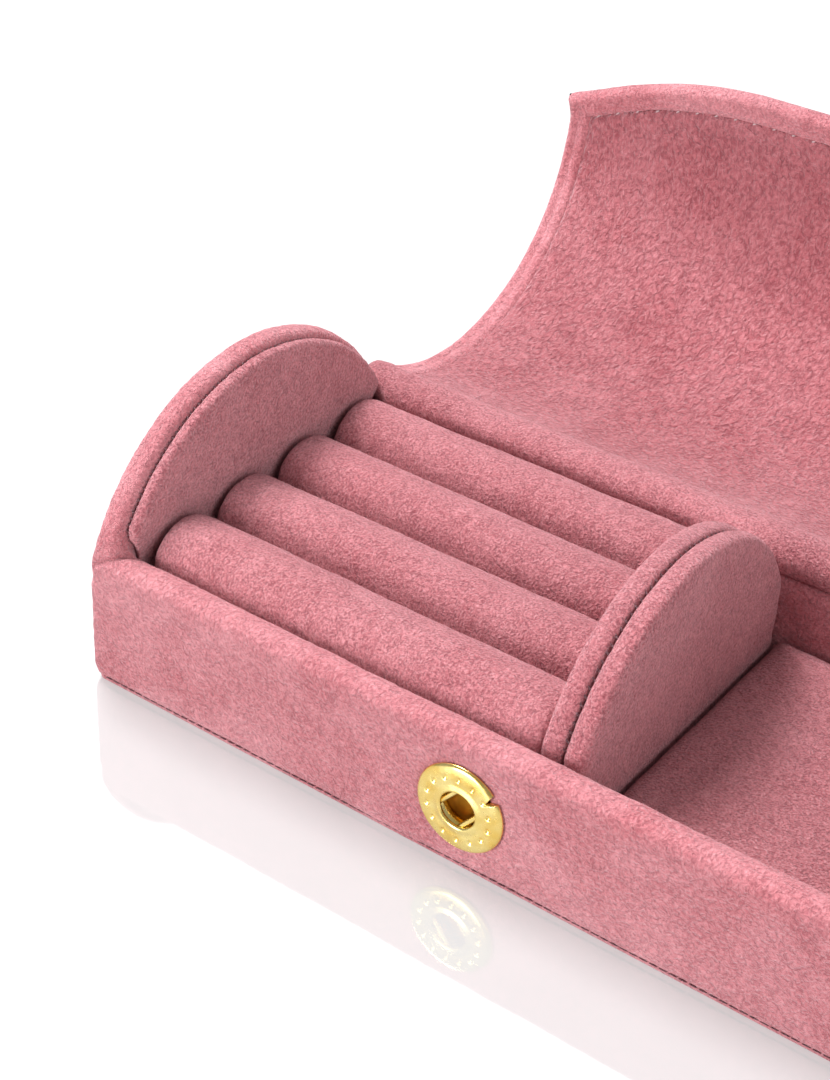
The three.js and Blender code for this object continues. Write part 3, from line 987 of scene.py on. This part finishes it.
def tab_velvet():
    half_x = box_mm("fastening_tab")[1].x
    start = LID_ARC_LENGTH - 1.0

    def reach(x):
        slack = max(0.0, 1 - (half_x - abs(x)) / 5.0)
        cut = 5.0 * (1 - math.sqrt(max(0.0, 1 - slack * slack)))
        return LID_ARC_LENGTH + 0.3 + TAB_LENGTH - cut

    middle = TAB_INNER_RADIUS + TAB_THICKNESS / 2

    def half(dx, front):
        """Half thickness, with the sewn channel that runs inside the edge."""
        edge = min(dx, front)
        channel = 0.25 * math.exp(-(((edge - 1.9) / 0.35) ** 2))
        return max(0.0, TAB_THICKNESS / 2 * round_off(edge, 1.2) - channel)

    def inner(x, arc, dx, rear, front):
        return middle - half(dx, front)

    def outer(x, arc, dx, rear, front):
        return middle + half(dx, front)

    columns = graded(40, 0.12, 14)
    rows = graded(24, 0.16, 12)
    tab = wrapped_slab("tab_velvet", half_x, start, reach, inner, outer, columns, rows)
    merge(tab)
    push(tab, softness(0.05, 0.04, seed=23.0))
    finish_piece(tab, None, VELVET, "velvet", "fastening_tab")
    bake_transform(tab)


def turned(name, profile, centre, turn=None, segments=96):
    """Profile of (radius, y) points spun about an axis along Y through centre."""
    points, faces = [], []
    for k in range(segments):
        angle = 2 * math.pi * k / segments
        for radius, y in profile:
            points.append(
                (
                    centre.x + radius * math.cos(angle),
                    y,
                    centre.z + radius * math.sin(angle),
                )
            )
    rows = len(profile)
    for k in range(segments):
        a, b = k * rows, ((k + 1) % segments) * rows
        for j in range(rows - 1):
            faces.append((a + j, a + j + 1, b + j + 1, b + j))
    piece = new_piece(name, points, faces)
    merge(piece, 0.002)
    if turn:
        for vertex in piece.data.vertices:
            vertex.co = turn(vertex.co / MM) * MM
        piece.data.update()
    return piece


def smooth_profile(points, steps=5):
    """Rounded run through (radius, y) points, as a Catmull-Rom curve."""
    out = []
    for i in range(len(points) - 1):
        p0 = Vector(points[max(i - 1, 0)])
        p1, p2 = Vector(points[i]), Vector(points[i + 1])
        p3 = Vector(points[min(i + 2, len(points) - 1)])
        for k in range(steps):
            t = k / steps
            a = 2 * p1 + (p2 - p0) * t
            b = (2 * p0 - 5 * p1 + 4 * p2 - p3) * t * t
            c = (3 * p1 - p0 - 3 * p2 + p3) * t * t * t
            out.append(tuple((a + b + c) / 2))
    out.append(tuple(points[-1]))
    return out


def snap_socket_gold():
    """Pressed socket: domed flange with a split rim, a soft lip and a deep cup."""
    centre = snap_centre()
    face = centre.y
    front = [
        (6.2, face + 0.1), (6.9, face - 0.12), (7.02, face - 0.38), (6.75, face - 0.7),
        (6.2, face - 0.88), (5.0, face - 1.0), (4.1, face - 0.97), (3.6, face - 1.08),
        (3.15, face - 1.15), (2.86, face - 0.9), (2.95, face - 0.6),
    ]
    inside = [
        (4.4, face - 0.5), (4.4, face - 0.2), (3.6, face + 0.4), (3.3, face + 1.35),
        (3.7, face + 1.5), (5.2, face + 1.45), (5.2, face + 0.1), (6.2, face + 0.1),
    ]
    socket = turned("snap_socket_gold", smooth_profile(front, 9) + inside, centre, segments=288)
    split_rim(socket, centre, face)
    stamp_marks(socket, centre)
    finish_piece(socket, "base", GOLD, "gold_brass", "snap_socket")
    # The cup's dark amber gold is painted shade down inside the hole.
    cup = [(0.0, face + 1.0), (1.0, face + 1.02), (2.4, face + 1.1), (3.5, face + 1.3)]
    cup += [(3.6, face + 1.6), (0.0, face + 1.6)]
    floor = turned("snap_cup_gold", smooth_profile(cup[:4]) + cup[4:], centre)
    finish_piece(floor, "base", GOLD_CUP_SHADE, "gold_brass", "snap_post")
    for name, side in (("upper", 1), ("lower", -1)):
        spring_wire(name, side, centre, face)


def tab_snap_gold():
    """The stud inside the tab and the domed cap outside it, drawn closed and swung open."""
    centre = Vector((0.0, 0.0, snap_centre().z))
    back = -36.0
    stud = [
        (0.0, back), (3.9, back), (4.2, back + 0.12), (4.1, back + 0.36), (1.6, back + 0.45),
        (1.35, back + 0.75), (1.38, back + 1.05), (1.64, back + 1.25), (1.68, back + 1.45),
        (1.5, back + 1.7), (1.0, back + 1.9), (0.0, back + 1.95),
    ]
    piece = turned("snap_stud_gold", smooth_profile(stud), centre, turn=swing)
    finish_piece(piece, "tab", GOLD_WIRE, "gold_brass", "snap_stud")
    seat = -(TAB_INNER_RADIUS + TAB_THICKNESS) - 0.3
    dome = [
        (0.0, seat - 1.1), (1.5, seat - 1.07), (3.0, seat - 0.98), (4.2, seat - 0.76),
        (4.9, seat - 0.5), (5.2, seat - 0.22), (5.1, seat - 0.03), (4.6, seat),
    ]
    shank = [(1.0, seat), (1.0, back - 0.3), (0.0, back - 0.3)]
    piece = turned("snap_cap_gold", smooth_profile(dome, 7) + shank, centre, turn=swing)
    finish_piece(piece, "tab", GOLD, "gold_brass", "snap_cap")


def split_rim(socket, centre, face):
    """V-shaped split in the flange's rim."""
    angle = math.radians(37)
    out = Vector((math.cos(angle), 0, math.sin(angle)))
    across = Vector((-math.sin(angle), 0, math.cos(angle)))
    corners = [out * 5.1, out * 7.8 + across * 1.15, out * 7.8 - across * 1.0]
    points = []
    for y in (face + 1.0, face - 2.0):
        points += [Vector((centre.x, y, centre.z)) + c for c in corners]
    wedge = new_piece(
        "wedge", points, [(0, 1, 2), (5, 4, 3), (0, 3, 4, 1), (1, 4, 5, 2), (2, 5, 3, 0)]
    )
    cut = socket.modifiers.new("cut", "BOOLEAN")
    cut.operation = "DIFFERENCE"
    cut.solver = "EXACT"
    cut.object = wedge
    settle(socket)
    bpy.data.objects.remove(wedge)


def stamp_marks(socket, centre):
    """Plain round dots pressed into the flange."""
    count = 14
    ring = 5.1
    mesh = socket.data
    for vertex in mesh.vertices:
        point = vertex.co / MM - centre
        if point.y > -0.8:
            continue
        radius = math.hypot(point.x, point.z)
        turn = math.degrees(math.atan2(point.z, point.x)) * count / 360 + 0.44
        along = abs(turn - round(turn)) * 2 * math.pi * radius / count
        distance = math.hypot(along, radius - ring)
        vertex.co.y += 0.26 * math.exp(-((distance / 0.38) ** 4)) * MM
    mesh.update()


def spring_wire(name, side, centre, face):
    """One of two parallel wires behind the lip, slanting up to the right."""
    angle = math.radians(50)
    along = Vector((math.cos(angle), 0, math.sin(angle)))
    across = Vector((-math.sin(angle), 0, math.cos(angle)))
    middle = Vector((centre.x, face - 0.28, centre.z)) + across * 2.22 * side
    points = [middle + along * (-3.6 + 7.2 * k / 24) for k in range(25)]
    rings = []
    for point in points:
        ring = []
        for k in range(16):
            turn = 2 * math.pi * k / 16
            ring.append(point + (across * math.cos(turn) + Vector((0, math.sin(turn), 0))) * 0.42)
        rings.append(ring)
    wire = ring_skin("snap_wire_" + name, rings)
    finish_piece(wire, "base", GOLD_WIRE, "gold_brass", "snap_spring_" + name)


# ---------------------------------------------------------------- stage


def stage():
    floor = bpy.data.meshes.new("floor")
    size = 14.0
    floor.from_pydata(
        [(-size, -size, 0), (size, -size, 0), (size, size, 0), (-size, size, 0)],
        [],
        [(0, 1, 2, 3)],
    )
    table = bpy.data.objects.new("floor", floor)
    bpy.context.scene.collection.objects.link(table)
    material = bpy.data.materials.new("glossy_white")
    material.use_nodes = True
    nodes, links = material.node_tree.nodes, material.node_tree.links
    nodes.clear()
    body = node(nodes, "ShaderNodeBsdfDiffuse", Color=(0.25, 0.251, 0.253, 1))
    glow = node(nodes, "ShaderNodeEmission", Color=(1, 1, 1, 1), Strength=0.52)
    lit = node(nodes, "ShaderNodeAddShader")
    gloss = node(nodes, "ShaderNodeBsdfGlossy", Color=(1, 1, 1, 1), Roughness=0.04)
    both = node(nodes, "ShaderNodeMixShader", Fac=0.17)
    out = node(nodes, "ShaderNodeOutputMaterial")
    links.new(body.outputs[0], lit.inputs[0])
    links.new(glow.outputs[0], lit.inputs[1])
    links.new(lit.outputs[0], both.inputs[1])
    links.new(gloss.outputs[0], both.inputs[2])
    links.new(both.outputs[0], out.inputs["Surface"])
    table.data.materials.append(material)

    world = bpy.data.worlds.new("studio")
    bpy.context.scene.world = world
    world.use_nodes = True
    background = world.node_tree.nodes["Background"]
    background.inputs["Color"].default_value = (0.97, 0.98, 1.0, 1)
    background.inputs["Strength"].default_value = 0.335
    studio_light("front", (-0.30, -1.0, 0.20), 0.5, 9.8)
    studio_light("top_left", (-0.45, 0.15, 0.85), 0.35, 13.0)
    studio_light("back", (-1.2, 1.8, 1.0), 3.0, 40.0)
    studio_light("right", (1.1, -0.3, 0.5), 1.0, 9.5)


def studio_light(name, place, size, power):
    """Square lamp that faces the case; the right one leaves no patch on the glossy floor."""
    light = bpy.data.lights.new(name, "AREA")
    light.size = size
    light.energy = power
    lamp = bpy.data.objects.new(name, light)
    lamp.location = place
    lamp.rotation_mode = "QUATERNION"
    lamp.rotation_quaternion = (Vector(place) - Vector((0, 0, 0.02))).to_track_quat("Z", "Y")
    lamp.visible_camera = False
    lamp.visible_glossy = name != "right"
    bpy.context.scene.collection.objects.link(lamp)


def camera():
    """The photograph's view; the roll is small."""
    azimuth, elevation, roll = (math.radians(a) for a in (34.45, 33.99, 3.08))
    forward = Vector((
        -math.sin(azimuth) * math.cos(elevation),
        math.cos(azimuth) * math.cos(elevation),
        -math.sin(elevation),
    ))
    right = Vector((math.cos(azimuth), math.sin(azimuth), 0))
    up = right.cross(forward)
    c, s = math.cos(roll), math.sin(roll)
    across, upright = c * right + s * up, c * up - s * right
    data = bpy.data.cameras.new("camera")
    data.sensor_width = 36.0
    data.lens = 72.17
    data.clip_start = 0.01
    data.clip_end = 20.0
    view = bpy.data.objects.new("camera", data)
    axes = Matrix((across, upright, -forward)).transposed().to_4x4()
    view.matrix_world = Matrix.Translation((0.1188, -0.2216, 0.2037)) @ axes
    bpy.context.scene.collection.objects.link(view)
    bpy.context.scene.camera = view
    bpy.context.scene.view_settings.view_transform = "Standard"


def hidden_layers():
    """The card boards inside the velvet keep their CAD shapes."""
    for name in (
        "base_board", "front_board", "back_board", "left_end_board", "right_end_board",
        "divider_left_card", "divider_right_card", "lid_board",
    ):
        for slot in frame["nodes"][name].material_slots:
            slot.material = BOARD


camera()
stage()
hidden_layers()
wrap_velvet()
bottom_velvet()
lining_pads()
dividers()
floor_pads()
ring_rolls()
lid_outer_velvet()
lid_lining_velvet()
hinge_velvet()
tab_velvet()
snap_socket_gold()
tab_snap_gold()
